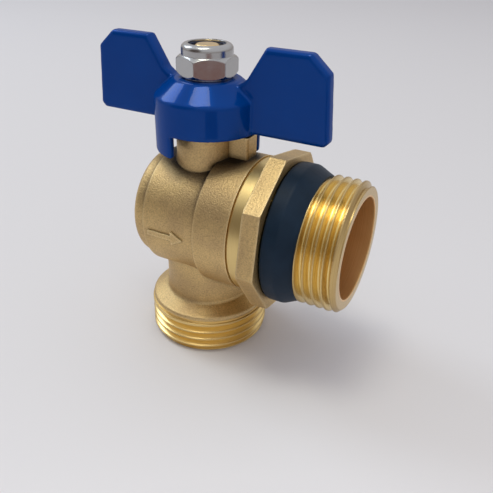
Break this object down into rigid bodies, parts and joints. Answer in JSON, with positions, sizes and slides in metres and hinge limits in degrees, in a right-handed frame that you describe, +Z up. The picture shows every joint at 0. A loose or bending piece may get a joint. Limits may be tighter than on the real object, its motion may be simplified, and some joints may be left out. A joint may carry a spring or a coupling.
{
  "type": "angle ball valve",
  "caption": "Right-angle ball valve with male pipe-threaded ends, an octagonal spanner collar, a conical rubber seal on the side end and a butterfly handle on top.",
  "frame": {"origin": "centre of the bottom port's end face", "axes": "+Z up along the stem axis, +X along the side port's axis out of the side port, the handle's wings along X when the valve is open"},
  "size_m": [0.0751, 0.0412, 0.0808],
  "materials": {
    "cast_brass": "cast and shot-blasted, matte",
    "machined_brass": "turned, satin",
    "turned_brass": "turned, satin",
    "chromed_brass": "polished chrome plate",
    "black_rubber": "satin",
    "seal_rubber": "satin",
    "ptfe": "satin",
    "blue_enamel": "glossy enamel on die-cast metal",
    "zinc_plate": "bright zinc plate",
    "nylon": "satin"
  },
  "bodies": {
    "valve": {"valve_body": "cast_brass", "tail_piece": "machined_brass", "tail_piece_o_ring": "black_rubber", "conical_seal_ring": "seal_rubber", "port_seat": "ptfe", "back_seat": "ptfe", "port_seat_backing_ring": "black_rubber", "back_seat_backing_ring": "black_rubber", "stem_thrust_washer": "ptfe", "packing_ring_lower": "ptfe", "packing_ring_upper": "ptfe", "gland_nut": "turned_brass"},
    "handle_assembly": {"handle": "blue_enamel", "stem": "turned_brass", "stem_o_ring_lower": "black_rubber", "stem_o_ring_upper": "black_rubber", "handle_washer": "zinc_plate", "lock_nut": "zinc_plate", "nylon_insert": "nylon"},
    "ball_rotor": {"ball": "chromed_brass"}
  },
  "joints": [
    {"name": "handle_turn", "type": "hinge", "parent": "valve", "child": "handle_assembly", "pos_m": [0, 0, 0.0364], "axis": [0, 0, 1], "range_deg": [0, 90]},
    {"name": "ball_turn", "type": "hinge", "parent": "valve", "child": "ball_rotor", "pos_m": [0, 0, 0.0364], "axis": [0, 0, 1], "range_deg": [0, 90]}
  ],
  "couplings": [
    {"joint": "ball_turn", "follows": "handle_turn", "ratio": 1}
  ]
}
